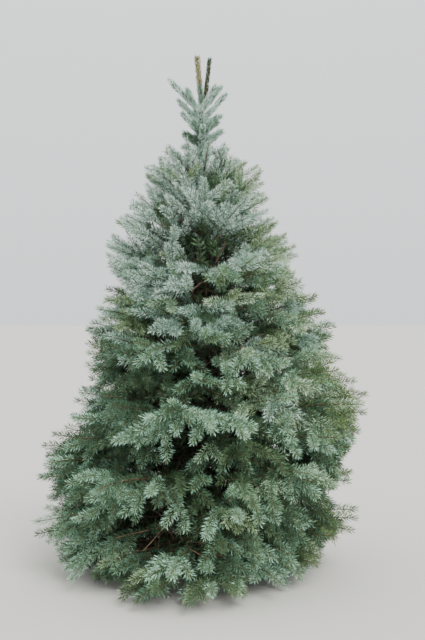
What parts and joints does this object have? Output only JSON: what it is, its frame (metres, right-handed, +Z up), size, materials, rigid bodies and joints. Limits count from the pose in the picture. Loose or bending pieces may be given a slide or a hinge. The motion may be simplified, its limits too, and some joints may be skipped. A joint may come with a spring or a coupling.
{
  "type": "blue spruce tree",
  "caption": "Young blue spruce tree, full from ground to top, with a forked leader, layered boughs and sage-green needles.",
  "frame": {"origin": "centre of the flat cut under the trunk, at ground level", "axes": "+Z up along the trunk, +X to the right and -Y towards the viewer in the picture"},
  "size_m": [1.7515, 1.7261, 2.7],
  "materials": {
    "bark": "rough scaly bark",
    "young_bark": "smooth young bark",
    "needles": "waxy matt needles",
    "tan_needles": "matt yellow-brown needles"
  },
  "bodies": {
    "root": {"leader_needles": "tan_needles", "second_leader": "young_bark", "second_leader_needles": "needles", "tier_1_bough_1": "bark", "tier_1_bough_2": "bark", "tier_1_bough_3": "bark", "tier_1_bough_4": "bark", "tier_1_bough_5": "bark", "tier_1_foliage_1": "needles", "tier_1_foliage_2": "needles", "tier_1_foliage_3": "needles", "tier_1_foliage_4": "needles", "tier_1_foliage_5": "needles", "tier_2_bough_1": "bark", "tier_2_bough_2": "bark", "tier_2_bough_3": "bark", "tier_2_bough_4": "bark", "tier_2_bough_5": "bark", "tier_2_foliage_1": "needles", "tier_2_foliage_2": "needles", "tier_2_foliage_3": "needles", "tier_2_foliage_4": "needles", "tier_2_foliage_5": "needles", "tier_3_bough_1": "bark", "tier_3_bough_2": "bark", "tier_3_bough_3": "bark", "tier_3_bough_4": "bark", "tier_3_bough_5": "bark", "tier_3_foliage_1": "needles", "tier_3_foliage_2": "needles", "tier_3_foliage_3": "needles", "tier_3_foliage_4": "needles", "tier_3_foliage_5": "needles", "tier_4_bough_1": "bark", "tier_4_bough_2": "bark", "tier_4_bough_3": "bark", "tier_4_bough_4": "bark", "tier_4_foliage_1": "needles", "tier_4_foliage_2": "needles", "tier_4_foliage_3": "needles", "tier_4_foliage_4": "needles", "tier_5_bough_1": "bark", "tier_5_bough_2": "bark", "tier_5_bough_3": "bark", "tier_5_bough_4": "bark", "tier_5_foliage_1": "needles", "tier_5_foliage_2": "needles", "tier_5_foliage_3": "needles", "tier_5_foliage_4": "needles", "tier_6_foliage_1": "needles", "tier_6_foliage_2": "needles", "tier_6_foliage_3": "needles", "tier_7_foliage_1": "needles", "tier_7_foliage_2": "needles", "tier_7_foliage_3": "needles", "tier_8_foliage_1": "needles", "tier_8_foliage_2": "needles", "tier_8_foliage_3": "needles", "tier_8_foliage_4": "needles", "trunk": "bark"}
  },
  "joints": []
}
